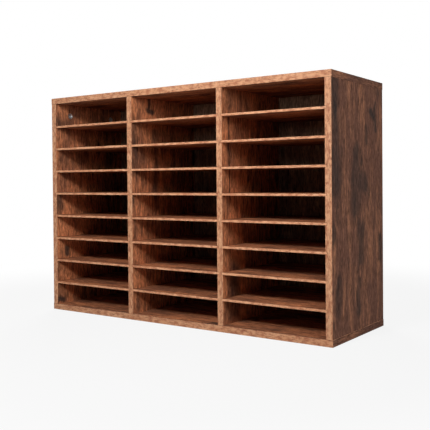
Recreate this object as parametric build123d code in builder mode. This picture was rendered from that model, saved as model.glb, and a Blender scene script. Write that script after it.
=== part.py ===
from build123d import *
import os
from math import sqrt

# Literature organizer: an open case with three columns of loose shelves that slide in grooves.
# Millimetres, +Z up, origin in the middle of the base, front towards -Y.

# Case boards
case_width = 998.0  # over the end bands of the top and bottom boards
case_depth = 305.0  # from the front bands to the rear edges
case_height = 670.0
board = 18.0  # thickness of the top, the bottom and the uprights
end_overhang = 1.0  # the top and bottom boards stand this far past the sides

# Edge bands, bonded to every front edge and to the ends of the top and bottom boards
band = 1.0
band_easing = 0.5  # chamfer along a band's outer edges

# Compartments and loose shelves
column_names = ["left", "centre", "right"]
shelf_rows = 8
bottom_row_height = 65.5  # clear height of the lowest compartments
top_row_height = 69.7  # clear height of the highest compartments
shelf_thickness = 6.0
shelf_easing = 0.4
shelf_setback = 0.5  # from the front of the case to the front of a shelf
shelf_rear_gap = 0.5  # from the rear edge of a shelf to the back board

# Shelf grooves, sawn right along the uprights and so open at the front
groove_depth = 5.0
groove_end_gap = 0.9  # from a shelf's end to the groove's floor
groove_gap_below = 0.1
groove_gap_above = 0.7

# Back board, held in a groove all round
back_thickness = 3.0
back_setback = 12.0  # from the rear edges of the case to the back board
back_groove_depth = 6.0
back_face_gap = 0.2
back_edge_gap = 0.5

# Places of the fittings along the depth of every upright
fitting_from_front = 60.0
fitting_from_back = 50.0
hole_clearance = 0.1  # radial, round every fitting
hole_end_gap = 0.5  # spare depth at the end of every blind hole

# Cam locks in the sides, just below the top board
cam_diameter = 18.0
cam_from_joint = 34.0  # from the side's top end to the cam's axis
cam_past_bolt = 4.8  # the cam reaches this far past the bolt's axis
cam_recess = 0.3
cam_cavity_diameter = 10.6
cam_cross_length = 9.0
cam_cross_width = 1.8
cam_cross_depth = 2.0
cam_gap = 0.3  # round the bolt's shank and head inside the cam
cam_slot_start = 55.0  # degrees, counted from the front of the cam with the bolt at 90
cam_slot_sweep = 140.0
cam_entry_sweep = 65.0  # wide mouth at the slot's end, where the bolt's head goes in

# Cam bolts, screwed up into the top board and caught by the cam locks
bolt_diameter = 5.0  # thread and shank
bolt_in_board = 11.0
bolt_head_diameter = 7.0
bolt_head_length = 2.4

# Dowels that hold the dividers between the top and bottom boards
dowel_diameter = 8.0
dowel_flutes = 12
dowel_in_board = 10.0
dowel_in_divider = 20.0

# Screws, driven up through the bottom board into the sides
screw_length = 50.0
screw_diameter = 5.0
screw_head_diameter = 10.0
screw_head_angle = 90.0
screw_recess = 0.3
screw_seat_gap = 0.15  # round the cone of the head
screw_cross_length = 5.0
screw_cross_width = 1.0
screw_cross_depth = 1.5

# Planes and faces that follow from the sizes above
front_y = -case_depth / 2
rear_y = case_depth / 2
board_front_y = front_y + band
back_front_y = rear_y - back_setback - back_thickness
back_rear_y = rear_y - back_setback
divider_rear_y = back_front_y - back_face_gap
upright_bottom = board
upright_top = case_height - board
upright_height = upright_top - upright_bottom
side_outer_x = case_width / 2 - end_overhang
column_count = len(column_names)
column_width = (2 * side_outer_x - (column_count + 1) * board) / column_count
upright_lefts = [index * (column_width + board) - side_outer_x for index in range(column_count + 1)]
left_side = 0
right_side = column_count
sides = (left_side, right_side)
dividers = range(left_side + 1, right_side)

# Shelf levels, evenly spread between the lowest and the highest compartment
first_shelf_z = upright_bottom + bottom_row_height
last_shelf_z = upright_top - top_row_height - shelf_thickness
shelf_pitch = (last_shelf_z - first_shelf_z) / (shelf_rows - 1)
shelf_levels = [first_shelf_z + row * shelf_pitch for row in range(shelf_rows)]
shelf_width = column_width + 2 * (groove_depth - groove_end_gap)
shelf_front_y = front_y + shelf_setback
shelf_rear_y = back_front_y - shelf_rear_gap
shelf_board_depth = shelf_rear_y - shelf_front_y - band
groove_height = groove_gap_below + shelf_thickness + groove_gap_above

# Fittings
fitting_ys = (front_y + fitting_from_front, back_front_y - fitting_from_back)
cam_radius = cam_diameter / 2
cam_height = board / 2 + cam_past_bolt - cam_recess
cam_cavity_radius = cam_cavity_diameter / 2
head_room = bolt_head_diameter / 2 + cam_gap
shank_room = bolt_diameter / 2 + cam_gap
head_seat = sqrt((cam_cavity_radius - cam_gap) ** 2 - (bolt_head_diameter / 2) ** 2)
bolt_head_top = head_seat - cam_from_joint
bolt_end = bolt_head_top - bolt_head_length
os.makedirs("parts", exist_ok=True)


def fitting_planes(uprights, z, up):
    """Workplanes for one kind of fitting on the ends of some uprights. Holes there run away from up."""
    centres = [upright_lefts[upright] + board / 2 for upright in uprights]
    return [Plane(origin=(x, y, z), z_dir=(0, 0, up)) for x in centres for y in fitting_ys]


def cam_planes(side):
    """Workplanes at the mouths of a side's cam bores, facing into the case, with local Y upwards."""
    inward = 1 if side == left_side else -1
    inner_x = inward * (board - side_outer_x)
    cam_z = upright_top - cam_from_joint
    mouths = [(inner_x, y, cam_z) for y in fitting_ys]
    return [Plane(origin=mouth, x_dir=(0, inward, 0), z_dir=(inward, 0, 0)) for mouth in mouths]


def draw_upright(upright):
    """Draw an upright's section in the open sketch: its outline, notched by the shelf grooves."""
    left = upright_lefts[upright]
    notch_lefts = []
    if upright != left_side:
        notch_lefts.append(left)
    if upright != right_side:
        notch_lefts.append(left + board - groove_depth)
    with Locations((left, upright_bottom)):
        Rectangle(board, upright_height, align=Align.MIN)
    with Locations(*[(x, z - groove_gap_below) for x in notch_lefts for z in shelf_levels]):
        Rectangle(groove_depth, groove_height, align=Align.MIN, mode=Mode.SUBTRACT)


def draw_flat_board():
    """Draw the outline of the top or bottom board, inside its bands, in the open sketch."""
    with Locations((0, board_front_y)):
        Rectangle(case_width - 2 * band, rear_y - board_front_y, align=(Align.CENTER, Align.MIN))


def draw_back_groove(centre_x, length):
    """Draw the groove for the back board, seen from above, in the open sketch."""
    with Locations((centre_x, (back_front_y + back_rear_y) / 2)):
        Rectangle(length, back_thickness + 2 * back_face_gap)


def make_side(side):
    """A side board: shelf grooves, the back board's groove, cam bores with bolt holes, screw holes."""
    inner_x = side_outer_x - board if side == right_side else board - side_outer_x
    with BuildPart() as body:
        with BuildSketch(Plane.XZ.offset(-rear_y)):
            draw_upright(side)
        extrude(amount=rear_y - board_front_y)
        with BuildSketch(Plane.XY.offset(upright_bottom)):
            draw_back_groove(inner_x, 2 * back_groove_depth)
        extrude(amount=upright_height, mode=Mode.SUBTRACT)
        with Locations(*cam_planes(side)):
            Hole(cam_radius + hole_clearance, cam_recess + cam_height + hole_clearance)
        with Locations(*fitting_planes([side], upright_top, 1)):
            Hole(bolt_head_diameter / 2 + hole_clearance, cam_from_joint)
        with Locations(*fitting_planes([side], upright_bottom, -1)):
            Hole(screw_diameter / 2 + hole_clearance, screw_recess + screw_length + hole_end_gap - board)
    return body


def make_divider(divider):
    """A divider: shelf grooves on both faces and dowel holes in both ends."""
    with BuildPart() as body:
        with BuildSketch(Plane.XZ.offset(-divider_rear_y)):
            draw_upright(divider)
        extrude(amount=divider_rear_y - board_front_y)
        with Locations(
            *fitting_planes([divider], upright_top, 1),
            *fitting_planes([divider], upright_bottom, -1),
        ):
            Hole(dowel_diameter / 2 + hole_clearance, dowel_in_divider + hole_end_gap)
    return body


def make_upright_band(upright):
    """The front band of an upright, notched where the shelf grooves come through."""
    with BuildPart() as strip:
        with BuildSketch(Plane.XZ.offset(-board_front_y)):
            draw_upright(upright)
        extrude(amount=band)
        front_edges = strip.faces().sort_by(Axis.Y)[0].edges().filter_by(Axis.Z).group_by(Axis.X)
        chamfer(front_edges[0] + front_edges[-1], length=band_easing)
    return strip


def make_front_band(base_z):
    """The front band of the top or bottom board. It also covers the front edges of the end bands."""
    with BuildPart() as strip:
        with BuildSketch(Plane.XZ.offset(-board_front_y)):
            with Locations((0, base_z)):
                Rectangle(case_width, board, align=(Align.CENTER, Align.MIN))
        extrude(amount=band)
        chamfer(strip.faces().sort_by(Axis.Y)[0].edges(), length=band_easing)
    return strip


def make_end_bands(base_z):
    """The pair of bands on the ends of the top or bottom board."""
    with BuildPart() as pair:
        with BuildSketch(Plane.XZ.offset(-rear_y)):
            with Locations((case_width / 2 - band, base_z)):
                Rectangle(band, board, align=Align.MIN)
        extrude(amount=rear_y - board_front_y)
        outer_edges = pair.faces().sort_by(Axis.X)[-1].edges().sort_by(Axis.Y)
        chamfer(outer_edges[1:], length=band_easing)
        mirror(about=Plane.YZ)
    return pair


# Top board: the back board's groove, bolt holes and dowel holes, all in its underside
with BuildPart() as top_panel:
    with BuildSketch(Plane.XY.offset(upright_top)):
        draw_flat_board()
    extrude(amount=board)
    with BuildSketch(Plane.XY.offset(upright_top)):
        draw_back_groove(0, case_width - 2 * band)
    extrude(amount=back_groove_depth, mode=Mode.SUBTRACT)
    with Locations(*fitting_planes(sides, upright_top, -1)):
        Hole(bolt_diameter / 2 + hole_clearance, bolt_in_board + hole_end_gap)
    with Locations(*fitting_planes(dividers, upright_top, -1)):
        Hole(dowel_diameter / 2 + hole_clearance, dowel_in_board + hole_end_gap)

# Bottom board: the same groove, dowel holes from above and countersunk screw holes from below
with BuildPart() as bottom_panel:
    with BuildSketch(Plane.XY):
        draw_flat_board()
    extrude(amount=board)
    with BuildSketch(Plane.XY.offset(upright_bottom)):
        draw_back_groove(0, case_width - 2 * band)
    extrude(amount=-back_groove_depth, mode=Mode.SUBTRACT)
    with Locations(*fitting_planes(dividers, upright_bottom, 1)):
        Hole(dowel_diameter / 2 + hole_clearance, dowel_in_board + hole_end_gap)
    with Locations(*fitting_planes(sides, 0, -1)):
        CounterSinkHole(
            screw_diameter / 2 + hole_clearance,
            screw_head_diameter / 2 + screw_recess + screw_seat_gap,
            board,
            screw_head_angle,
        )

# Back board: its edges stand in the grooves of the sides, the top and the bottom
with BuildPart() as back_panel:
    with BuildSketch(Plane.XZ.offset(-back_rear_y)):
        with Locations((0, (upright_bottom + upright_top) / 2)):
            Rectangle(
                2 * (side_outer_x - board + back_groove_depth - back_edge_gap),
                upright_height + 2 * (back_groove_depth - back_edge_gap),
            )
    extrude(amount=back_thickness)

# One cam lock, seen at its mouth: the bolt comes in along local +Y, half the board's thickness deep.
# Its rim is slit for the bolt's shank, and the slit ends in a wide mouth for the bolt's head.
with BuildPart() as cam_lock:
    with BuildSketch(Plane.XY.offset(-cam_recess)):
        Circle(cam_radius)
    extrude(amount=-cam_height)
    with BuildSketch(Plane.XY.offset(-cam_recess)):
        Rectangle(cam_cross_length, cam_cross_width)
        Rectangle(cam_cross_width, cam_cross_length)
    extrude(amount=-cam_cross_depth, mode=Mode.SUBTRACT)
    with BuildSketch(Plane.XY.offset(-board / 2)):
        Circle(cam_cavity_radius)
    extrude(amount=head_room, both=True, mode=Mode.SUBTRACT)
    for start, turn, room in (
        (cam_slot_start, cam_slot_sweep, shank_room),
        (cam_slot_start + cam_slot_sweep, cam_entry_sweep, head_room),
    ):
        with BuildSketch(Plane.XY.offset(-board / 2)):
            with BuildLine():
                rim = CenterArc((0, 0), cam_diameter, start, turn)
                Line((0, 0), rim @ 0)
                Line(rim @ 1, (0, 0))
            make_face()
        extrude(amount=room, both=True, mode=Mode.SUBTRACT)

with BuildPart() as cam_locks:
    with Locations(*[plane for side in sides for plane in cam_planes(side)]):
        add(cam_lock.part)

# One cam bolt, with the joint at its origin: thread above, shank and head below
with BuildPart() as cam_bolt:
    with BuildSketch(Plane.XZ):
        with BuildLine():
            Polyline(
                (0, bolt_in_board),
                (bolt_diameter / 2, bolt_in_board),
                (bolt_diameter / 2, bolt_head_top),
                (bolt_head_diameter / 2, bolt_head_top),
                (bolt_head_diameter / 2, bolt_end),
                (0, bolt_end),
                close=True,
            )
        make_face()
    revolve(axis=Axis.Z)

with BuildPart() as cam_bolts:
    with Locations(*fitting_planes(sides, upright_top, 1)):
        add(cam_bolt.part)

# One fluted dowel, with the joint at its origin: the shorter end is in the top or bottom board
with BuildPart() as dowel:
    with BuildSketch(Plane.XY.offset(-dowel_in_divider)):
        RegularPolygon(dowel_diameter / 2, dowel_flutes)
    extrude(amount=dowel_in_divider + dowel_in_board)

with BuildPart() as dowels:
    with Locations(
        *fitting_planes(dividers, upright_top, 1),
        *fitting_planes(dividers, upright_bottom, -1),
    ):
        add(dowel.part)

# One assembly screw, standing on its countersunk head
with BuildPart() as assembly_screw:
    with BuildSketch(Plane.XY.offset(screw_recess)):
        Circle(screw_diameter / 2)
    extrude(amount=screw_length)
    with BuildSketch(Plane.XY.offset(screw_recess)):
        Circle(screw_head_diameter / 2)
    extrude(amount=(screw_head_diameter - screw_diameter) / 2, taper=screw_head_angle / 2)
    with BuildSketch(Plane.XY.offset(screw_recess)):
        Rectangle(screw_cross_length, screw_cross_width)
        Rectangle(screw_cross_width, screw_cross_length)
    extrude(amount=screw_cross_depth, mode=Mode.SUBTRACT)

with BuildPart() as assembly_screws:
    with Locations(*fitting_planes(sides, 0, 1)):
        add(assembly_screw.part)

pieces = {
    "top_panel": top_panel,
    "bottom_panel": bottom_panel,
    "left_side_panel": make_side(left_side),
    "left_divider": make_divider(1),
    "right_divider": make_divider(2),
    "right_side_panel": make_side(right_side),
    "back_panel": back_panel,
    "top_front_band": make_front_band(upright_top),
    "bottom_front_band": make_front_band(0),
    "left_side_band": make_upright_band(left_side),
    "left_divider_band": make_upright_band(1),
    "right_divider_band": make_upright_band(2),
    "right_side_band": make_upright_band(right_side),
    "top_end_bands": make_end_bands(upright_top),
    "bottom_end_bands": make_end_bands(0),
    "cam_locks": cam_locks,
    "cam_bolts": cam_bolts,
    "dowels": dowels,
    "assembly_screws": assembly_screws,
}
for name, piece in pieces.items():
    piece.part.label = name
    export_step(piece.part, f"parts/{name}.step")

# The loose shelves: each is a thin board with its own front band, two solids bonded face to face
for column, column_name in enumerate(column_names):
    column_x = upright_lefts[column] + board + column_width / 2
    for row, shelf_z in enumerate(shelf_levels):
        with BuildPart() as shelf_board:
            with BuildSketch(Plane.XY.offset(shelf_z)):
                with Locations((column_x, shelf_front_y + band)):
                    Rectangle(shelf_width, shelf_board_depth, align=(Align.CENTER, Align.MIN))
            extrude(amount=shelf_thickness)
        with BuildPart() as shelf_band:
            with BuildSketch(Plane.XY.offset(shelf_z)):
                with Locations((column_x, shelf_front_y)):
                    Rectangle(shelf_width, band, align=(Align.CENTER, Align.MIN))
            extrude(amount=shelf_thickness)
            shelf_front = shelf_band.faces().sort_by(Axis.Y)[0]
            chamfer(shelf_front.edges().filter_by(Axis.X), length=shelf_easing)
        shelf = Compound(children=[shelf_board.part, shelf_band.part])
        shelf.label = f"shelf_{column_name}_{row + 1}"
        export_step(shelf, f"parts/{shelf.label}.step")
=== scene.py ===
"""Literature organizer: finishes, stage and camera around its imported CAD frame.

The settings hold what a user would change. Each operator dresses or models one group of
pieces, and main() runs them in order. Lengths are in metres, in the frame's own axes: the
front faces -Y and +X is to the right as seen from the front.
"""

import functools
import math
from typing import NamedTuple

import bpy
from bpy.props import FloatProperty, FloatVectorProperty, PointerProperty
from mathutils import Matrix, Vector


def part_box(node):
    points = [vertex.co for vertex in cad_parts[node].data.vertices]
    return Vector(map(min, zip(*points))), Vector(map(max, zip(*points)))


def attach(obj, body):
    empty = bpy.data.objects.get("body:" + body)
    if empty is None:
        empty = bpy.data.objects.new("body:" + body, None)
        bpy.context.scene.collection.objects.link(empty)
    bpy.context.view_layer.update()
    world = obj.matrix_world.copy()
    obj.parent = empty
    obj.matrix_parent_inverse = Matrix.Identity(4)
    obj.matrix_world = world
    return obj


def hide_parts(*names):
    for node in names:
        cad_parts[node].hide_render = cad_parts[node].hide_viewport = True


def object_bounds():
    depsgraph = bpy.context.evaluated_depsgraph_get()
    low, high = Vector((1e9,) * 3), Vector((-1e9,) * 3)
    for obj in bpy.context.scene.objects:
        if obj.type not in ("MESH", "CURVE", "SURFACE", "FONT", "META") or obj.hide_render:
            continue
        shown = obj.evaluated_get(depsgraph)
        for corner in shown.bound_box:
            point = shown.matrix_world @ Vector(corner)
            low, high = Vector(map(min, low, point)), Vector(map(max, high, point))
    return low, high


bl_info = {
    "name": "Literature organizer",
    "version": (1, 0, 0),
    "blender": (4, 5, 0),
    "location": "3D View > Sidebar > Organizer",
    "description": "Finishes the organizer's boards, bands, shelves and fittings and sets its stage",
    "category": "Object",
}

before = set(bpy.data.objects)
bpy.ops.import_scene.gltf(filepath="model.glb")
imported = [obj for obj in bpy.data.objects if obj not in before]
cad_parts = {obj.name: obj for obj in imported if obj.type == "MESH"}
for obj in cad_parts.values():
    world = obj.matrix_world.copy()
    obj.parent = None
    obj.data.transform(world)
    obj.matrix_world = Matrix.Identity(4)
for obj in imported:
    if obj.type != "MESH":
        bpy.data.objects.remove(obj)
cad_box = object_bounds()

CASE_BODY = "case"
IMAGE_PIXELS = 430
SENSOR_WIDTH = 36.0
WHITE = (1.0, 1.0, 1.0, 1.0)
FLOOR_GREY = (0.5, 0.5, 0.5, 1.0)
NOISE_MIDDLE = 0.5

# A face whose centre is nearer to a plane than this lies on it.
SKIN = 0.0001
# The least share of a face's normal that points along an axis: where the face stands square to the
# axis, and where it is only slanted towards it.
SQUARELY = 0.9
SLANTED = 0.5

# The cam locks: the gap up to which points are merged, how far a cutting tool stands out of the face
# that it cuts, the sides of the round tool, and the angle up to which faces are shaded as one.
WELD_GAP = 0.000002
TOOL_SPARE = 0.001
DISH_SIDES = 96
SMOOTH_ANGLE = math.radians(30)

# Turns a pattern whose grain runs along X so that it runs along the named axis instead.
GRAIN_TURNS = {
    "X": (0.0, 0.0, 0.0),
    "Y": (0.0, 0.0, math.radians(-90)),
    "Z": (0.0, math.radians(90), 0.0),
}

# Marks of the print, by the board whose right face shows them: the depth and the height where a
# stroke starts, the same where it ends, its half width, and how far its edge fades.
SIDE_CLOUDS = {
    "right_side_panel": (
        (-0.016, 0.478, -0.014, 0.425, 0.008, 0.024),
        (-0.020, 0.405, 0.034, 0.396, 0.016, 0.026),
        (-0.018, 0.370, -0.020, 0.325, 0.010, 0.030),
        (-0.128, 0.470, -0.130, 0.385, 0.014, 0.036),
        (0.012, 0.285, 0.010, 0.200, 0.007, 0.022),
        (0.000, 0.140, -0.002, 0.070, 0.002, 0.020),
        (-0.112, 0.160, -0.122, 0.080, 0.001, 0.024),
        (0.134, 0.250, 0.134, 0.186, 0.002, 0.018),
        (-0.138, 0.640, -0.128, 0.490, 0.004, 0.036),
        (-0.150, 0.280, -0.150, 0.262, 0.008, 0.024),
        (0.045, 0.540, 0.046, 0.506, 0.002, 0.014),
    ),
}
SIDE_CRACKS = {
    "right_side_panel": (
        (0.1045, 0.611, 0.0955, 0.586, 0.0010, 0.007),
        (0.0740, 0.586, 0.0960, 0.573, 0.0030, 0.015),
        (0.1050, 0.566, 0.1065, 0.536, 0.0015, 0.007),
    ),
}
WALL_CLOUDS = {
    "left_side_panel": (
        (-0.148, 0.592, -0.108, 0.590, 0.004, 0.030),
        (-0.152, 0.150, -0.151, 0.040, 0.002, 0.030),
        (-0.146, 0.352, -0.140, 0.318, 0.007, 0.018),
    ),
    "left_divider": (
        (-0.148, 0.575, -0.148, 0.440, 0.004, 0.030),
        (-0.052, 0.560, -0.042, 0.330, 0.002, 0.018),
    ),
    "right_divider": ((-0.100, 0.160, -0.104, 0.040, 0.010, 0.040),),
}
WALL_CRACKS = {
    "left_side_panel": (
        (-0.146, 0.030, -0.128, 0.026, 0.003, 0.014),
        (-0.113, 0.191, -0.112, 0.176, 0.005, 0.012),
    ),
    "left_divider": (
        (-0.077, 0.652, -0.076, 0.622, 0.002, 0.008),
        (-0.082, 0.617, -0.058, 0.614, 0.003, 0.010),
    ),
    "right_divider": ((-0.122, 0.572, -0.117, 0.320, 0.001, 0.003),),
}
# How the marks wander: waves per metre along each axis, and how far clouds and cracks are pushed.
MARK_WAVES = (40.0, 40.0, 14.0)
CLOUD_PUSH = 0.05
CRACK_PUSH = 0.014

# The uprights, with the side on which they face out of the case: none for the dividers.
UPRIGHTS = {"left_side_panel": -1, "right_side_panel": 1, "left_divider": 0, "right_divider": 0}
FLAT_BOARDS = ("top_panel", "bottom_panel")
UPRIGHT_BANDS = ("left_side_band", "left_divider_band", "right_divider_band", "right_side_band")
# The front bands that run along the case, with the side on which they meet the uprights' bands, where
# their slanted edge gets painted shade.
FLAT_BANDS = {"top_front_band": -1, "bottom_front_band": 1}
# The bands on the ends of the top and bottom boards, and whether their slanted upper edge is painted tan
# as a highlight.
END_BANDS = {"top_end_bands": False, "bottom_end_bands": True}
SHELVES = tuple(sorted(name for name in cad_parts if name.startswith("shelf_")))


class Finish(NamedTuple):
    """How a surface takes the light, apart from its colour, and the depth of its relief."""

    specular: float
    relief: float
    roughness: float = 0.5
    metallic: float = 0.0


PRINTED_BOARD = Finish(specular=0.06, relief=0.00012)
PRINTED_BAND = Finish(specular=0.15, relief=0.0001)
RAW_BOARD = Finish(specular=0.2, relief=0.0003, roughness=0.85)
RAW_BEECH = Finish(specular=0.25, relief=0.0001, roughness=0.6)
CAST_METAL = Finish(specular=0.5, relief=0.00003, roughness=0.46, metallic=1.0)
PLATED_METAL = Finish(specular=0.5, relief=0.00003, roughness=0.3, metallic=1.0)

# Printed boards, by material: the axis of the grain, how warm and how smoky the print is, and the
# first word of its two colours' names in the settings.
WOODGRAINS = {
    # Inside and outside are lit and shaded copies of one print: the outside colours are darker and cooler
    # as painted shade, and the end bands share them.
    "Woodgrain outside": ("Z", 0.1, 0.3, "outer"),
    "Woodgrain inside": ("Z", 1.0, 0.35, "inner"),
    "Woodgrain flat": ("X", 0.5, 0.5, "flat"),
    "Woodgrain end band": ("Y", 0.2, 0.4, "outer"),
    "Woodgrain back": ("Z", 0.6, 0.3, "back"),
    "Woodgrain shelf": ("X", 0.6, 0.25, "flat"),
}
# Tan bands, by material: the axis of the grain and how light the print is.
TAN_BANDS = {
    "Tan band along X": ("X", 1.0),
    "Tan band along Y": ("Y", 1.0),
    "Tan band along Z": ("Z", 1.0),
    "Shelf band along X": ("X", 1.18),
    # Nearly black: painted shade for the bands' slanted edges in the seams where they meet.
    "Painted seam shade along X": ("X", 0.06),
}
# Raw boards, by material: the setting that holds the colour, and the chips per metre.
RAW_BOARDS = {"Raw particle board": ("core", 420.0), "Raw fibreboard": ("fibre", 1500.0)}
# Metals, by material: the setting that holds the colour, and the finish.
METALS = {"Cast zinc": ("zinc", CAST_METAL), "Plated steel": ("steel", PLATED_METAL)}


def colour_property(name, description, default):
    """A colour setting, in linear light."""
    return FloatVectorProperty(
        name=name, description=description, subtype="COLOR", size=3, min=0.0, max=1.0, default=default
    )


def place_property(name, description, default):
    """A setting for where something stands."""
    return FloatVectorProperty(
        name=name, description=description, subtype="TRANSLATION", unit="LENGTH", default=default
    )


def length_property(name, description, default):
    """A setting for a length."""
    return FloatProperty(
        name=name, description=description, subtype="DISTANCE", unit="LENGTH", default=default, min=0.0001
    )


def power_property(name, description, default):
    """A setting for a lamp's strength."""
    return FloatProperty(
        name=name, description=description, subtype="POWER", unit="POWER", default=default, min=0.0
    )


def share_property(name, description, default):
    """A setting from none to all."""
    return FloatProperty(
        name=name, description=description, subtype="FACTOR", default=default, min=0.0, max=1.0
    )


class BoardSettings(bpy.types.PropertyGroup):
    """Colours of the printed boards and of what shows where they are cut."""

    inner_brown: colour_property("Inner brown", "Main colour of the print inside", (0.265, 0.107, 0.060))
    inner_warm: colour_property("Inner streaks", "Warm streaks in the print inside", (0.7, 0.26, 0.115))
    # The outer colours are the inner ones darkened and cooled: painted shade for the outer faces.
    outer_brown: colour_property("Outer brown", "Main colour of the print outside", (0.188, 0.086, 0.058))
    outer_warm: colour_property("Outer streaks", "Warm streaks in the print outside", (0.43, 0.190, 0.106))
    flat_brown: colour_property("Level brown", "Main colour of the level boards", (0.223, 0.090, 0.050))
    flat_warm: colour_property("Level streaks", "Warm streaks on the level boards", (0.588, 0.218, 0.097))
    back_brown: colour_property("Back brown", "Main colour of the back board", (0.31, 0.195, 0.13))
    back_warm: colour_property("Back streaks", "Paler streaks on the back board", (0.52, 0.33, 0.21))
    charcoal: colour_property("Charcoal", "Smoke, knots and cracks of the print", (0.044, 0.032, 0.028))
    core: colour_property("Particle board", "Raw core at edges, grooves and holes", (0.46, 0.31, 0.185))
    fibre: colour_property("Fibreboard", "Raw shelf ends and rear of the back board", (0.25, 0.145, 0.08))


class BandSettings(bpy.types.PropertyGroup):
    """Colours of the tan bands along the front edges."""

    tan: colour_property("Tan", "Main colour of the front bands", (0.567, 0.265, 0.134))
    pale: colour_property("Pale grain", "Lightest grain of the front bands", (0.716, 0.392, 0.225))
    rust: colour_property("Rust", "Red-brown mottling of the front bands", (0.368, 0.134, 0.069))
    speck: colour_property("Specks", "Short dark pores in the front bands", (0.2, 0.07, 0.04))


class FittingSettings(bpy.types.PropertyGroup):
    """Colours of the fasteners."""

    zinc: colour_property("Zinc", "Die-cast cam locks", (0.72, 0.73, 0.74))
    steel: colour_property("Steel", "Plated bolts and screws", (0.62, 0.6, 0.56))
    beech: colour_property("Beech", "Fluted dowels", (0.56, 0.37, 0.2))


class StageSettings(bpy.types.PropertyGroup):
    """Camera, lamps and surroundings."""

    camera_place: place_property("Camera place", "Where the camera stands", (1.268, -1.6415, 0.402))
    camera_turn: FloatVectorProperty(
        name="Camera turn", description="Yaw to the left, pitch up and roll of the camera",
        subtype="EULER", unit="ROTATION",
        default=(math.radians(33.64), math.radians(-0.85), math.radians(-0.44)),
    )
    focal_pixels: FloatProperty(
        name="Focal length in pixels", description="Focal length as a count of image pixels",
        subtype="PIXEL", default=695.0, min=1.0,
    )
    camera_shift: FloatVectorProperty(
        name="Camera shift", description="Lens shift that frames the case as photographed",
        size=2, default=(-0.093, -0.054),
    )
    key_place: place_property("Key lamp place", "Lamp in front and above", (0.2, -1.75, 1.3))
    key_power: power_property("Key lamp power", "Strength of the front lamp", 24.0)
    key_size: length_property("Key lamp size", "Side of the front lamp", 0.3)
    near_place: place_property("Near lamp place", "Lamp close in front, just above", (0.25, -0.93, 0.75))
    near_power: power_property("Near lamp power", "Strength of the weak near lamp", 1.5)
    near_size: length_property("Near lamp size", "Side of the weak near lamp", 0.3)
    side_place: place_property("Side lamp place", "Lamp to the right, a little in front", (2.1, -0.8, 1.0))
    side_power: power_property("Side lamp power", "Strength of the soft lamp to the right", 15.0)
    side_size: length_property("Side lamp size", "Side of the soft lamp to the right", 0.6)
    rear_place: place_property("Rear lamp place", "Lamp behind and to the left", (-1.9, 2.0, 1.7))
    rear_power: power_property("Rear lamp power", "Strength of the soft rear lamp", 80.0)
    rear_size: length_property("Rear lamp size", "Side of the soft rear lamp", 1.4)
    surround_level: share_property("Surround level", "Even light from all around", 0.04)
    floor_size: length_property("Floor size", "Side of the floor", 24.0)
    floor_white: share_property("Floor white", "How far the floor is seen as white, not as lit", 0.88)
    shadow_reach: length_property("Shadow reach", "How far out the floor shows the shadow in full", 0.8)


class OrganizerSettings(bpy.types.PropertyGroup):
    """Everything that a user may change."""

    boards: PointerProperty(type=BoardSettings, name="Boards")
    bands: PointerProperty(type=BandSettings, name="Bands")
    fittings: PointerProperty(type=FittingSettings, name="Fittings")
    stage: PointerProperty(type=StageSettings, name="Stage")


def made_once(store):
    """Makes each named node group or material once, and hands out the same one after that."""

    def wrap(make):
        @functools.wraps(make)
        def fetch(name, *details):
            return getattr(bpy.data, store).get(name) or make(name, *details)

        return fetch

    return wrap


def node(tree, kind, inputs=None, **attributes):
    """Adds a node; each input is given a value or another node's output."""
    made = tree.nodes.new(kind)
    for name, value in attributes.items():
        setattr(made, name, value)
    for name, value in (inputs or {}).items():
        if isinstance(value, bpy.types.NodeSocket):
            tree.links.new(value, made.inputs[name])
        else:
            made.inputs[name].default_value = value
    return made


def computed(tree, operation, first, second=0.0):
    """One step of arithmetic on two values."""
    return node(tree, "ShaderNodeMath", {0: first, 1: second}, operation=operation).outputs[0]


def vector_step(tree, operation, first, second):
    """One step of arithmetic on two vectors."""
    return node(tree, "ShaderNodeVectorMath", {0: first, 1: second}, operation=operation).outputs["Vector"]


def vector_scaled(tree, vector, factor):
    """A vector made longer or shorter."""
    made = node(tree, "ShaderNodeVectorMath", {0: vector, "Scale": factor}, operation="SCALE")
    return made.outputs["Vector"]


def vector_measure(tree, operation, first, second=(0.0, 0.0, 0.0)):
    """One value from two vectors, such as their distance."""
    return node(tree, "ShaderNodeVectorMath", {0: first, 1: second}, operation=operation).outputs["Value"]


def lowered(tree, level, amount, most):
    """A level, less the most that it can lose times an amount."""
    return computed(tree, "SUBTRACT", level, computed(tree, "MULTIPLY", amount, most))


def swing(tree, noise, reach):
    """A noise turned into a push one way or the other."""
    return computed(tree, "MULTIPLY", computed(tree, "SUBTRACT", noise, NOISE_MIDDLE), reach)


def swayed(tree, place, noise, reach):
    """A place pushed about by a noise in three directions."""
    centred = vector_step(tree, "SUBTRACT", noise, (NOISE_MIDDLE, NOISE_MIDDLE, NOISE_MIDDLE))
    return vector_step(tree, "ADD", place, vector_scaled(tree, centred, reach))


def waves(tree, vector, per_metre, detail, roughness=0.5):
    """Noise with so many waves per metre along each axis."""
    scaled = vector_step(tree, "MULTIPLY", vector, per_metre)
    made = node(
        tree, "ShaderNodeTexNoise",
        {"Vector": scaled, "Scale": 1.0, "Detail": detail, "Roughness": roughness},
    )
    return made.outputs


def grain_waves(tree, vector, along, across, detail, roughness=0.5):
    """Noise drawn out along X, with so many waves per metre along and across the grain."""
    return waves(tree, vector, (along, across, across), detail, roughness)


def even_waves(tree, vector, per_metre, detail, roughness=0.5):
    """Noise with as many waves per metre every way."""
    return waves(tree, vector, (per_metre, per_metre, per_metre), detail, roughness)


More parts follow.
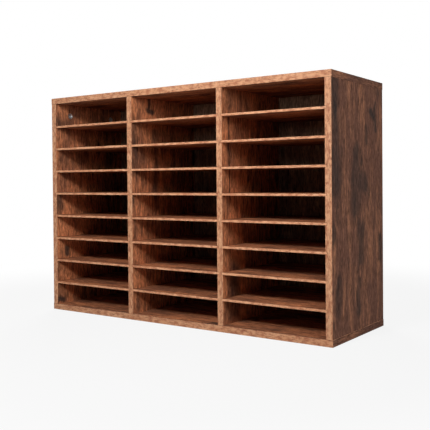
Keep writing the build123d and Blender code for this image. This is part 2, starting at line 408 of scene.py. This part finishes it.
def spread(tree, value, start, end, to_start=0.0, to_end=1.0):
    """Eases a value from one range to another, clamped at both ends."""
    eased = node(
        tree, "ShaderNodeMapRange",
        {"Value": value, "From Min": start, "From Max": end, "To Min": to_start, "To Max": to_end},
        interpolation_type="SMOOTHSTEP",
    )
    return eased.outputs["Result"]


def mixed(tree, share, first, second, blend="MIX"):
    """Two colours mixed by a share."""
    made = node(tree, "ShaderNodeMix", {0: share, 6: first, 7: second}, data_type="RGBA", blend_type=blend)
    return made.outputs[2]


def shaded(tree, colour, factor):
    """A colour made lighter or darker by a factor."""
    return mixed(tree, 1.0, colour, factor, "MULTIPLY")


def with_alpha(colour):
    """A colour setting as the four numbers that a colour socket takes."""
    return (*colour, 1.0)


def start_group(name, inputs, outputs):
    """An empty shader node group with named sockets, and its two end nodes' sockets."""
    tree = bpy.data.node_groups.new(name, "ShaderNodeTree")
    for socket, kind in inputs.items():
        tree.interface.new_socket(socket, in_out="INPUT", socket_type="NodeSocket" + kind)
    for socket, kind in outputs.items():
        tree.interface.new_socket(socket, in_out="OUTPUT", socket_type="NodeSocket" + kind)
    return tree, tree.nodes.new("NodeGroupInput").outputs, tree.nodes.new("NodeGroupOutput").inputs


@made_once("node_groups")
def knot_group(name):
    """Scattered knots: a dark heart with a few rings, drawn out along the grain."""
    tree, given, result = start_group(name, {"Vector": "Vector"}, {"Heart": "Float", "Rings": "Float"})
    cells_per_metre = (5.0, 15.0, 15.0)
    cells = vector_step(tree, "MULTIPLY", given["Vector"], cells_per_metre)
    nearest = node(tree, "ShaderNodeTexVoronoi", {"Vector": cells, "Scale": 1.0}).outputs
    draw = node(tree, "ShaderNodeSeparateColor", {"Color": nearest["Color"]}).outputs
    share_of_bare_cells = 0.6
    chosen = computed(tree, "GREATER_THAN", draw["Red"], share_of_bare_cells)
    ragged = grain_waves(tree, given["Vector"], along=38.0, across=240.0, detail=3.0, roughness=0.6)["Fac"]
    least_growth = 0.8
    growth = computed(tree, "ADD", least_growth, draw["Green"])
    grown = computed(tree, "MULTIPLY", nearest["Distance"], growth)
    distance = computed(tree, "ADD", grown, swing(tree, ragged, reach=0.3))
    heart = spread(tree, distance, start=0.02, end=0.2, to_start=1.0, to_end=0.0)
    ring_rate = 95.0
    wave = computed(tree, "SINE", computed(tree, "MULTIPLY", distance, ring_rate))
    near = spread(tree, distance, start=0.12, end=0.36, to_start=1.0, to_end=0.0)
    rings = computed(tree, "MULTIPLY", spread(tree, wave, start=0.1, end=0.9), near)
    tree.links.new(computed(tree, "MULTIPLY", heart, chosen), result["Heart"])
    tree.links.new(computed(tree, "MULTIPLY", rings, chosen), result["Rings"])
    return tree


def past_stroke(tree, place, face_x, stroke):
    """How far a place is past the edge of a stroke on an upright face, as a share of the edge's fade."""
    start_y, start_z, end_y, end_z, half_width, fade = stroke
    start = Vector((face_x, start_y, start_z))
    along = Vector((face_x, end_y, end_z)) - start
    offset = vector_step(tree, "SUBTRACT", place, start)
    share = vector_measure(tree, "DOT_PRODUCT", offset, along / along.length_squared)
    held = node(tree, "ShaderNodeClamp", {"Value": share}).outputs[0]
    gap = vector_measure(tree, "DISTANCE", offset, vector_scaled(tree, along, held))
    return computed(tree, "DIVIDE", computed(tree, "SUBTRACT", gap, half_width), fade)


@made_once("node_groups")
def marks_group(name, clouds, cracks):
    """Wide clouds and dark cracks of the print, at their places on some boards' right faces."""
    tree, given, result = start_group(name, {"Vector": "Vector"}, {"Clouds": "Float", "Cracks": "Float"})
    wander = waves(tree, given["Vector"], MARK_WAVES, detail=3.0, roughness=0.6)["Color"]
    for output, boards, push in (("Clouds", clouds, CLOUD_PUSH), ("Cracks", cracks, CRACK_PUSH)):
        place = swayed(tree, given["Vector"], wander, push)
        nearest = 1.0
        for board, strokes in boards.items():
            right_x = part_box(board)[1].x
            for stroke in strokes:
                nearest = computed(tree, "MINIMUM", nearest, past_stroke(tree, place, right_x, stroke))
        mark = spread(tree, nearest, start=0.0, end=1.0, to_start=1.0, to_end=0.0)
        tree.links.new(mark, result[output])
    return tree


@made_once("node_groups")
def woodgrain_group(name):
    """The printed rustic woodgrain, with its grain along X."""
    tree, given, result = start_group(
        name,
        {
            "Vector": "Vector", "Brown": "Color", "Warm": "Color", "Charcoal": "Color",
            "Warmth": "Float", "Smoke": "Float", "Clouds": "Float", "Cracks": "Float",
        },
        {"Color": "Color", "Roughness": "Float", "Height": "Float"},
    )
    sway = grain_waves(tree, given["Vector"], along=5.0, across=14.0, detail=2.0)["Color"]
    grain = swayed(tree, given["Vector"], sway, reach=0.022)
    broad = grain_waves(tree, grain, along=6.0, across=24.0, detail=4.0, roughness=0.6)["Fac"]
    streaks = grain_waves(tree, grain, along=11.0, across=110.0, detail=3.0, roughness=0.6)["Fac"]
    fibres = grain_waves(tree, grain, along=28.0, across=620.0, detail=2.0)["Fac"]
    dashes = grain_waves(tree, grain, along=45.0, across=300.0, detail=2.0)["Fac"]
    patches = grain_waves(tree, grain, along=7.0, across=19.0, detail=3.0, roughness=0.55)["Fac"]
    flecks = grain_waves(tree, grain, along=75.0, across=190.0, detail=2.0, roughness=0.6)["Fac"]
    pores = spread(tree, dashes, start=0.56, end=0.68)

    tone = 0.5
    for layer, weight in ((broad, 0.9), (streaks, 0.7), (fibres, 0.3)):
        tone = computed(tree, "ADD", tone, swing(tree, layer, weight))
    warm_range = 0.34
    warm_start = lowered(tree, level=0.44, amount=given["Warmth"], most=0.16)
    warm_end = computed(tree, "ADD", warm_start, warm_range)
    colour = mixed(tree, spread(tree, tone, warm_start, warm_end), given["Brown"], given["Warm"])

    smoke_range = 0.18
    smoke_start = lowered(tree, level=0.66, amount=given["Smoke"], most=0.2)
    smoke_end = computed(tree, "ADD", smoke_start, smoke_range)
    ragged = computed(tree, "ADD", patches, swing(tree, streaks, reach=0.4))
    smoke = spread(tree, ragged, smoke_start, smoke_end)
    streaked = spread(tree, streaks, start=0.38, end=0.62, to_start=0.62)
    veil = computed(tree, "MULTIPLY", given["Clouds"], streaked)
    smoke = computed(tree, "MAXIMUM", smoke, veil)
    scattered = knot_group("Scattered knots")
    knots = node(tree, "ShaderNodeGroup", {"Vector": grain}, node_tree=scattered).outputs
    marks = ((smoke, 0.85), (knots["Rings"], 0.45), (knots["Heart"], 0.9), (given["Cracks"], 0.9))
    for mark, strength in marks:
        colour = mixed(tree, computed(tree, "MULTIPLY", mark, strength), colour, given["Charcoal"])

    fibre_shade = spread(tree, fibres, start=0.3, end=0.7, to_start=0.78, to_end=1.16)
    fleck_shade = spread(tree, flecks, start=0.35, end=0.65, to_start=0.74, to_end=1.16)
    pore_shade = lowered(tree, level=1.0, amount=pores, most=0.45)
    shade = computed(tree, "MULTIPLY", fibre_shade, fleck_shade)
    shade = computed(tree, "MULTIPLY", shade, pore_shade)
    tree.links.new(shaded(tree, colour, shade), result["Color"])
    roughness = spread(tree, fibres, start=0.3, end=0.7, to_start=0.78, to_end=0.66)
    tree.links.new(roughness, result["Roughness"])
    tree.links.new(computed(tree, "SUBTRACT", fibres, pores), result["Height"])
    return tree


@made_once("node_groups")
def band_group(name):
    """The tan band's print: pale grain, rusty mottling and short dark pores along X."""
    tree, given, result = start_group(
        name,
        {
            "Vector": "Vector", "Tan": "Color", "Pale": "Color", "Rust": "Color", "Speck": "Color",
            "Lightness": "Float",
        },
        {"Color": "Color", "Roughness": "Float", "Height": "Float"},
    )
    place = given["Vector"]
    cloud = grain_waves(tree, place, along=14.0, across=60.0, detail=3.0)["Fac"]
    lines = grain_waves(tree, place, along=26.0, across=420.0, detail=3.0, roughness=0.6)["Fac"]
    dashes = grain_waves(tree, place, along=95.0, across=430.0, detail=2.0, roughness=0.6)["Fac"]
    mottle = grain_waves(tree, place, along=62.0, across=105.0, detail=3.0, roughness=0.6)["Fac"]
    pores = spread(tree, dashes, start=0.52, end=0.66)
    pale_share = 0.5
    pale_clouds = computed(tree, "MULTIPLY", spread(tree, cloud, start=0.35, end=0.7), pale_share)
    pale_lines = computed(tree, "MULTIPLY", spread(tree, lines, start=0.35, end=0.7), pale_share)
    colour = mixed(tree, computed(tree, "ADD", pale_clouds, pale_lines), given["Tan"], given["Pale"])
    colour = mixed(tree, spread(tree, mottle, start=0.42, end=0.64, to_end=0.8), colour, given["Rust"])
    speck_strength = 0.6
    colour = mixed(tree, computed(tree, "MULTIPLY", pores, speck_strength), colour, given["Speck"])
    tree.links.new(shaded(tree, colour, given["Lightness"]), result["Color"])
    roughness = spread(tree, lines, start=0.3, end=0.7, to_start=0.58, to_end=0.46)
    tree.links.new(roughness, result["Roughness"])
    tree.links.new(computed(tree, "SUBTRACT", lines, pores), result["Height"])
    return tree


@made_once("node_groups")
def chip_group(name):
    """Pressed chips and fibres, for what shows of a board's inside."""
    tree, given, result = start_group(
        name,
        {"Vector": "Vector", "Colour": "Color", "Chips per metre": "Float"},
        {"Color": "Color", "Height": "Float"},
    )
    warp = even_waves(tree, given["Vector"], per_metre=300.0, detail=2.0)["Color"]
    place = vector_step(tree, "ADD", given["Vector"], vector_scaled(tree, warp, factor=0.002))
    inputs = {"Vector": place, "Scale": given["Chips per metre"]}
    chips = node(tree, "ShaderNodeTexVoronoi", inputs).outputs
    tone = node(tree, "ShaderNodeSeparateColor", {"Color": chips["Color"]}).outputs["Green"]
    shade = spread(tree, tone, start=0.0, end=1.0, to_start=0.62, to_end=1.18)
    for clouds_per_metre in (14.0, 90.0):
        cloud = even_waves(tree, given["Vector"], clouds_per_metre, detail=4.0, roughness=0.65)["Fac"]
        cloud_shade = spread(tree, cloud, start=0.3, end=0.7, to_start=0.86, to_end=1.12)
        shade = computed(tree, "MULTIPLY", shade, cloud_shade)
    gaps = spread(tree, chips["Distance"], start=0.35, end=0.75, to_start=1.0, to_end=0.7)
    colour = shaded(tree, given["Colour"], computed(tree, "MULTIPLY", shade, gaps))
    tree.links.new(colour, result["Color"])
    tree.links.new(computed(tree, "MULTIPLY", tone, gaps), result["Height"])
    return tree


def start_material(name, finish):
    """A material with its Principled shader set to a finish, and the object's own coordinates."""
    material = bpy.data.materials.new(name)
    material.use_nodes = True
    tree = material.node_tree
    shader = tree.nodes["Principled BSDF"]
    shader.inputs["Specular IOR Level"].default_value = finish.specular
    shader.inputs["Roughness"].default_value = finish.roughness
    shader.inputs["Metallic"].default_value = finish.metallic
    return material, tree, shader, node(tree, "ShaderNodeTexCoord").outputs["Object"]


def turned(tree, place, axis):
    """Coordinates turned so that a pattern along X runs along the named axis."""
    mapping = node(tree, "ShaderNodeMapping", {"Vector": place, "Rotation": GRAIN_TURNS[axis]})
    return mapping.outputs["Vector"]


def raise_surface(tree, shader, height, finish):
    """Feeds a height to the shader's normal as the finish's shallow relief."""
    relief = node(tree, "ShaderNodeBump", {"Height": height, "Strength": 1.0, "Distance": finish.relief})
    tree.links.new(relief.outputs["Normal"], shader.inputs["Normal"])


@made_once("materials")
def woodgrain_material(name, marks=None):
    """A printed board with its grain along an axis, perhaps with marks at set places."""
    axis, warmth, smoke, print_name = WOODGRAINS[name]
    colours = bpy.context.scene.organizer.boards
    material, tree, shader, place = start_material(name, PRINTED_BOARD)
    inputs = {
        "Vector": turned(tree, place, axis),
        "Brown": with_alpha(getattr(colours, print_name + "_brown")),
        "Warm": with_alpha(getattr(colours, print_name + "_warm")),
        "Charcoal": with_alpha(colours.charcoal),
        "Warmth": warmth,
        "Smoke": smoke,
    }
    if marks:
        placed = node(tree, "ShaderNodeGroup", {"Vector": place}, node_tree=marks).outputs
        inputs["Clouds"] = placed["Clouds"]
        inputs["Cracks"] = placed["Cracks"]
    grain = node(tree, "ShaderNodeGroup", inputs, node_tree=woodgrain_group("Printed woodgrain")).outputs
    tree.links.new(grain["Color"], shader.inputs["Base Color"])
    tree.links.new(grain["Roughness"], shader.inputs["Roughness"])
    raise_surface(tree, shader, grain["Height"], PRINTED_BOARD)
    return material


@made_once("materials")
def band_material(name):
    """A tan band, as light as its table says, with its grain along an axis."""
    axis, lightness = TAN_BANDS[name]
    colours = bpy.context.scene.organizer.bands
    material, tree, shader, place = start_material(name, PRINTED_BAND)
    inputs = {
        "Vector": turned(tree, place, axis),
        "Tan": with_alpha(colours.tan),
        "Pale": with_alpha(colours.pale),
        "Rust": with_alpha(colours.rust),
        "Speck": with_alpha(colours.speck),
        "Lightness": lightness,
    }
    grain = node(tree, "ShaderNodeGroup", inputs, node_tree=band_group("Tan band grain")).outputs
    tree.links.new(grain["Color"], shader.inputs["Base Color"])
    tree.links.new(grain["Roughness"], shader.inputs["Roughness"])
    raise_surface(tree, shader, grain["Height"], PRINTED_BAND)
    return material


@made_once("materials")
def core_material(name):
    """Raw pressed board, where nothing covers it."""
    setting, chips_per_metre = RAW_BOARDS[name]
    colour = getattr(bpy.context.scene.organizer.boards, setting)
    material, tree, shader, place = start_material(name, RAW_BOARD)
    inputs = {"Vector": place, "Colour": with_alpha(colour), "Chips per metre": chips_per_metre}
    chips = node(tree, "ShaderNodeGroup", inputs, node_tree=chip_group("Pressed chips")).outputs
    tree.links.new(chips["Color"], shader.inputs["Base Color"])
    raise_surface(tree, shader, chips["Height"], RAW_BOARD)
    return material


@made_once("materials")
def metal_material(name):
    """Plated or cast metal with a faint mottle."""
    setting, finish = METALS[name]
    colour = getattr(bpy.context.scene.organizer.fittings, setting)
    material, tree, shader, place = start_material(name, finish)
    mottle = even_waves(tree, place, per_metre=420.0, detail=3.0)["Fac"]
    fine = even_waves(tree, place, per_metre=2600.0, detail=2.0)["Fac"]
    shade = spread(tree, mottle, start=0.3, end=0.7, to_start=0.82, to_end=1.08)
    tree.links.new(shaded(tree, with_alpha(colour), shade), shader.inputs["Base Color"])
    dullest = finish.roughness + 0.1
    brightest = finish.roughness - 0.06
    rough = spread(tree, mottle, start=0.3, end=0.7, to_start=dullest, to_end=brightest)
    tree.links.new(rough, shader.inputs["Roughness"])
    raise_surface(tree, shader, fine, finish)
    return material


@made_once("materials")
def beech_material(name):
    """Pale beech of the dowels, grain along the dowel."""
    colour = bpy.context.scene.organizer.fittings.beech
    material, tree, shader, place = start_material(name, RAW_BEECH)
    grain = turned(tree, place, "Z")
    lines = grain_waves(tree, grain, along=60.0, across=1400.0, detail=3.0)["Fac"]
    dashes = grain_waves(tree, grain, along=420.0, across=2600.0, detail=1.0)["Fac"]
    flecks = spread(tree, dashes, start=0.62, end=0.7)
    shade = spread(tree, lines, start=0.3, end=0.7, to_start=0.84, to_end=1.08)
    shade = lowered(tree, level=shade, amount=flecks, most=0.25)
    tree.links.new(shaded(tree, with_alpha(colour), shade), shader.inputs["Base Color"])
    raise_surface(tree, shader, lines, RAW_BEECH)
    return material


def paint_faces(name, materials, choose, *details):
    """Gives each face of a CAD node a material, chosen by its centre, its normal and the node's box."""
    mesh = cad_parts[name].data
    low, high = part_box(name)
    mesh.materials.clear()
    for material in materials:
        mesh.materials.append(material)
    for face in mesh.polygons:
        chosen = choose(face.center, face.normal, low, high, *details)
        face.material_index = materials.index(chosen)


def paint_whole(name, material):
    """Gives a whole CAD node one material."""
    paint_faces(name, (material,), lambda centre, normal, low, high: material)


def on_plane(value, plane):
    """Whether a coordinate lies on a plane, within the skin's thickness."""
    return abs(value - plane) < SKIN


class ORGANIZER_OT_uprights(bpy.types.Operator):
    """Finish the two sides and the two dividers: upright woodgrain, raw core where they are cut"""

    bl_idname = "organizer.uprights"
    bl_label = "Finish uprights"

    def execute(self, context):
        side_marks = marks_group("Side marks", SIDE_CLOUDS, SIDE_CRACKS)
        wall_marks = marks_group("Wall marks", WALL_CLOUDS, WALL_CRACKS)
        outside = woodgrain_material("Woodgrain outside", side_marks)
        inside = woodgrain_material("Woodgrain inside", wall_marks)
        core = core_material("Raw particle board")

        def choose(centre, normal, low, high, outward):
            on_wide_face = on_plane(centre.x, low.x) or on_plane(centre.x, high.x)
            if abs(normal.x) < SQUARELY or not on_wide_face:
                return core
            # Outer faces take the darker copy of the print, which is painted shade.
            return outside if normal.x * outward > 0 else inside

        for name, outward in UPRIGHTS.items():
            paint_faces(name, (outside, inside, core), choose, outward)
        return {"FINISHED"}


class ORGANIZER_OT_flat_boards(bpy.types.Operator):
    """Finish the top and bottom boards: woodgrain along the case, raw core where they are cut"""

    bl_idname = "organizer.flat_boards"
    bl_label = "Finish top and bottom"

    def execute(self, context):
        printed = woodgrain_material("Woodgrain flat")
        core = core_material("Raw particle board")

        def choose(centre, normal, low, high):
            on_wide_face = on_plane(centre.z, low.z) or on_plane(centre.z, high.z)
            return printed if abs(normal.z) > SQUARELY and on_wide_face else core

        for name in FLAT_BOARDS:
            paint_faces(name, (printed, core), choose)
        return {"FINISHED"}


class ORGANIZER_OT_bands(bpy.types.Operator):
    """Finish the tan front bands and the dark bands on the ends of the top and bottom, with painted shade
    and a painted highlight on some slanted edges
    """

    bl_idname = "organizer.bands"
    bl_label = "Finish edge bands"

    def execute(self, context):
        for name in UPRIGHT_BANDS:
            paint_whole(name, band_material("Tan band along Z"))

        front = band_material("Tan band along X")
        seam_shade = band_material("Painted seam shade along X")
        printed = woodgrain_material("Woodgrain end band")
        plain = band_material("Tan band along Y")

        def choose_along(centre, normal, low, high, inward):
            # The slanted edge towards the opening is painted nearly black: painted shade in the seam
            # between the bands.
            return seam_shade if normal.z * inward > SLANTED and normal.y < -SLANTED else front

        def choose_at_end(centre, normal, low, high, painted_highlight_above):
            if abs(normal.x) < SLANTED:
                return plain
            # On the bottom's end bands the slanted upper edge is painted tan: a painted highlight where it
            # faces the light from above.
            return plain if painted_highlight_above and normal.z > SLANTED else printed

        for name, inward in FLAT_BANDS.items():
            paint_faces(name, (front, seam_shade), choose_along, inward)
        for name, painted_highlight_above in END_BANDS.items():
            paint_faces(name, (printed, plain), choose_at_end, painted_highlight_above)
        return {"FINISHED"}


class ORGANIZER_OT_back(bpy.types.Operator):
    """Finish the back board: printed in front, plain fibreboard behind"""

    bl_idname = "organizer.back"
    bl_label = "Finish back board"

    def execute(self, context):
        printed = woodgrain_material("Woodgrain back")
        plain = core_material("Raw fibreboard")

        def choose(centre, normal, low, high):
            return printed if normal.y < -SQUARELY and on_plane(centre.y, low.y) else plain

        paint_faces("back_panel", (printed, plain), choose)
        return {"FINISHED"}


class ORGANIZER_OT_shelves(bpy.types.Operator):
    """Finish the loose shelves: woodgrain faces, tan front band, raw ends and rear edge"""

    bl_idname = "organizer.shelves"
    bl_label = "Finish shelves"

    band_thickness: length_property("Band thickness", "Thickness of a shelf's front band", 0.001)

    def execute(self, context):
        printed = woodgrain_material("Woodgrain shelf")
        band = band_material("Shelf band along X")
        plain = core_material("Raw fibreboard")

        def choose(centre, normal, low, high):
            if centre.y < low.y + self.band_thickness - SKIN:
                return band
            return printed if abs(normal.z) > SQUARELY else plain

        for name in SHELVES:
            paint_faces(name, (printed, band, plain), choose)
        return {"FINISHED"}


def select_only(piece):
    """Makes a piece the one selected and active object."""
    bpy.ops.object.select_all(action="DESELECT")
    piece.select_set(True)
    bpy.context.view_layer.objects.active = piece


def cut_away(piece, tools):
    """Cuts some solids out of a piece and removes them."""
    select_only(tools[0])
    for tool in tools:
        tool.select_set(True)
    bpy.ops.object.join()
    joined = bpy.context.object
    select_only(piece)
    modifier = piece.modifiers.new("Cut", "BOOLEAN")
    modifier.operation = "DIFFERENCE"
    modifier.solver = "EXACT"
    modifier.object = joined
    bpy.ops.object.modifier_apply(modifier=modifier.name)
    bpy.data.objects.remove(joined)


def copy_packed_locks():
    """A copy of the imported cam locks, with their loose triangles merged."""
    locks = bpy.data.objects.new("dished_cam_locks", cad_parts["cam_locks"].data.copy())
    bpy.context.scene.collection.objects.link(locks)
    select_only(locks)
    bpy.ops.object.mode_set(mode="EDIT")
    bpy.ops.mesh.select_all(action="SELECT")
    bpy.ops.mesh.remove_doubles(threshold=WELD_GAP)
    bpy.ops.object.mode_set(mode="OBJECT")
    return locks


def lock_faces():
    """The cam locks' radius, and for each its side of the case and the middle of the face that shows."""
    low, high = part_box("cam_locks")
    radius = (high.z - low.z) / 2
    height = (high.z + low.z) / 2
    points = [point.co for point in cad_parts["cam_locks"].data.vertices]
    faces = []
    for side in (-1, 1):
        face_x = side * min(abs(point.x) for point in points if point.x * side > 0)
        for y in (low.y + radius, high.y - radius):
            faces.append((side, Vector((face_x, y, height))))
    return radius, faces


class ORGANIZER_OT_cam_locks(bpy.types.Operator):
    """Model the cam locks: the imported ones, with a dished face and a cross recess at its bottom"""

    bl_idname = "organizer.cam_locks"
    bl_label = "Model cam locks"

    rim_width: length_property("Rim width", "Flat rim round the dished face", 0.0007)
    dish_depth: length_property("Dish depth", "Depth of the dish, whose wall slopes at 45 degrees", 0.0026)
    cross_size: FloatVectorProperty(
        name="Cross recess", description="Depth, length and width of the driver's cross",
        subtype="XYZ_LENGTH", unit="LENGTH", default=(0.0014, 0.0085, 0.0018),
    )

    def execute(self, context):
        locks = copy_packed_locks()
        radius, faces = lock_faces()
        self.cut_dishes(context, locks, radius, faces)
        self.cut_crosses(context, locks, faces)
        select_only(locks)
        bpy.ops.object.shade_smooth_by_angle(angle=SMOOTH_ANGLE)
        locks.data.materials.clear()
        locks.data.materials.append(metal_material("Cast zinc"))
        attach(locks, CASE_BODY)
        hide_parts("cam_locks")
        return {"FINISHED"}

    def cut_dishes(self, context, locks, radius, faces):
        """Hollows each face to a dish inside its rim."""
        dish_radius = radius - self.rim_width
        cones = []
        for side, middle in faces:
            bpy.ops.mesh.primitive_cone_add(
                vertices=DISH_SIDES,
                radius1=dish_radius - self.dish_depth,
                radius2=dish_radius + TOOL_SPARE,
                depth=self.dish_depth + TOOL_SPARE,
                rotation=(0.0, -side * math.pi / 2, 0.0),
                location=middle + Vector((side * (self.dish_depth - TOOL_SPARE) / 2, 0.0, 0.0)),
            )
            cones.append(context.object)
        cut_away(locks, cones)

    def cut_crosses(self, context, locks, faces):
        """Sinks the two bars of the driver's cross into the bottom of each dish."""
        depth, length, width = self.cross_size
        inward = self.dish_depth + (depth - TOOL_SPARE) / 2
        for size_y, size_z in ((length, width), (width, length)):
            bars = []
            for side, middle in faces:
                bpy.ops.mesh.primitive_cube_add(
                    size=1.0,
                    scale=(depth + TOOL_SPARE, size_y, size_z),
                    location=middle + Vector((side * inward, 0.0, 0.0)),
                )
                bars.append(context.object)
            cut_away(locks, bars)


class ORGANIZER_OT_fittings(bpy.types.Operator):
    """Finish the bolts, screws and dowels"""

    bl_idname = "organizer.fittings"
    bl_label = "Finish fittings"

    def execute(self, context):
        for name in ("cam_bolts", "assembly_screws"):
            paint_whole(name, metal_material("Plated steel"))
        paint_whole("dowels", beech_material("Beech"))
        return {"FINISHED"}


def background_rays(tree):
    """1 for rays that see the surroundings as a picture: from the camera, in gloss and through glass."""
    path = node(tree, "ShaderNodeLightPath").outputs
    seen = computed(tree, "MAXIMUM", path["Is Camera Ray"], path["Is Glossy Ray"])
    return computed(tree, "MAXIMUM", seen, path["Is Transmission Ray"])


def make_floor(settings):
    """A pale floor that is seen nearly white and keeps the case's shadow."""
    bpy.ops.mesh.primitive_plane_add(size=settings.floor_size, location=(0.0, 0.0, cad_box[0].z))
    floor = bpy.context.object
    floor.name = "floor"
    material = bpy.data.materials.new("Pale floor")
    material.use_nodes = True
    tree = material.node_tree
    tree.nodes.clear()
    lit = node(tree, "ShaderNodeBsdfDiffuse", {"Color": FLOOR_GREY})
    white = node(tree, "ShaderNodeEmission", {"Color": WHITE, "Strength": 1.0})
    place = node(tree, "ShaderNodeTexCoord").outputs["Object"]
    away = vector_measure(tree, "LENGTH", place)
    reach = settings.shadow_reach
    fade = spread(tree, away, reach, 2 * reach, to_start=settings.floor_white, to_end=1.0)
    share = computed(tree, "MULTIPLY", background_rays(tree), fade)
    both = node(tree, "ShaderNodeMixShader", {0: share, 1: lit.outputs[0], 2: white.outputs[0]})
    node(tree, "ShaderNodeOutputMaterial", {"Surface": both.outputs[0]})
    floor.data.materials.append(material)


def make_world(settings):
    """Even light from all around, seen as white."""
    world = bpy.data.worlds.new("Studio")
    bpy.context.scene.world = world
    world.use_nodes = True
    tree = world.node_tree
    tree.nodes.clear()
    even = node(tree, "ShaderNodeBackground", {"Color": WHITE, "Strength": settings.surround_level})
    white = node(tree, "ShaderNodeBackground", {"Color": WHITE, "Strength": 1.0})
    seen = background_rays(tree)
    both = node(tree, "ShaderNodeMixShader", {0: seen, 1: even.outputs[0], 2: white.outputs[0]})
    node(tree, "ShaderNodeOutputWorld", {"Surface": both.outputs[0]})


def make_lamp(name, place, power, size):
    """A square lamp that points at the middle of the case."""
    bpy.ops.object.light_add(type="AREA", location=place)
    lamp = bpy.context.object
    lamp.name = name
    lamp.data.shape = "SQUARE"
    lamp.data.size = size
    lamp.data.energy = power
    middle = (cad_box[0] + cad_box[1]) / 2
    lamp.rotation_euler = (middle - Vector(place)).to_track_quat("-Z", "Y").to_euler()


def make_camera(settings):
    """The camera where the photograph was taken from."""
    bpy.ops.object.camera_add(location=settings.camera_place)
    camera = bpy.context.object
    camera.name = "camera"
    yaw, pitch, roll = settings.camera_turn
    ahead = Vector((-math.sin(yaw) * math.cos(pitch), math.cos(yaw) * math.cos(pitch), math.sin(pitch)))
    across = Vector((math.cos(yaw), math.sin(yaw), 0.0))
    upward = across.cross(ahead)
    tilt = Matrix.Rotation(roll, 3, -ahead)
    turn = Matrix((tilt @ across, tilt @ upward, -ahead)).transposed()
    camera.rotation_euler = turn.to_euler()
    camera.data.sensor_width = SENSOR_WIDTH
    camera.data.lens = settings.focal_pixels / IMAGE_PIXELS * SENSOR_WIDTH
    camera.data.shift_x, camera.data.shift_y = settings.camera_shift
    bpy.context.scene.camera = camera


class ORGANIZER_OT_stage(bpy.types.Operator):
    """Set the floor, the surroundings, the lamps and the camera"""

    bl_idname = "organizer.stage"
    bl_label = "Set stage"

    def execute(self, context):
        settings = context.scene.organizer.stage
        context.scene.view_settings.view_transform = "Standard"
        make_floor(settings)
        make_world(settings)
        make_lamp("key_lamp", settings.key_place, settings.key_power, settings.key_size)
        make_lamp("near_lamp", settings.near_place, settings.near_power, settings.near_size)
        make_lamp("side_lamp", settings.side_place, settings.side_power, settings.side_size)
        make_lamp("rear_lamp", settings.rear_place, settings.rear_power, settings.rear_size)
        make_camera(settings)
        return {"FINISHED"}


STEPS = (
    ORGANIZER_OT_uprights,
    ORGANIZER_OT_flat_boards,
    ORGANIZER_OT_bands,
    ORGANIZER_OT_back,
    ORGANIZER_OT_shelves,
    ORGANIZER_OT_cam_locks,
    ORGANIZER_OT_fittings,
    ORGANIZER_OT_stage,
)


class ORGANIZER_PT_panel(bpy.types.Panel):
    """Lists the organizer's steps and its settings"""

    bl_idname = "ORGANIZER_PT_panel"
    bl_label = "Literature organizer"
    bl_space_type = "VIEW_3D"
    bl_region_type = "UI"
    bl_category = "Organizer"

    def draw(self, context):
        for step in STEPS:
            self.layout.operator(step.bl_idname)
        settings = context.scene.organizer
        for group in (settings.boards, settings.bands, settings.fittings, settings.stage):
            box = self.layout.box()
            for name in group.__annotations__:
                box.prop(group, name)


SETTINGS = (BoardSettings, BandSettings, FittingSettings, StageSettings, OrganizerSettings)
CLASSES = (*SETTINGS, *STEPS, ORGANIZER_PT_panel)


def register():
    """Registers the classes and hangs the settings on the scene."""
    for entry in CLASSES:
        bpy.utils.register_class(entry)
    bpy.types.Scene.organizer = PointerProperty(type=OrganizerSettings)


def unregister():
    """Takes the settings off the scene and the classes out again."""
    del bpy.types.Scene.organizer
    for entry in reversed(CLASSES):
        bpy.utils.unregister_class(entry)


def main():
    """Runs every step in order."""
    register()
    bpy.ops.object.select_all(action="DESELECT")
    bpy.ops.organizer.uprights()
    bpy.ops.organizer.flat_boards()
    bpy.ops.organizer.bands()
    bpy.ops.organizer.back()
    bpy.ops.organizer.shelves()
    bpy.ops.organizer.cam_locks()
    bpy.ops.organizer.fittings()
    bpy.ops.organizer.stage()


if __name__ == "__main__":
    main()
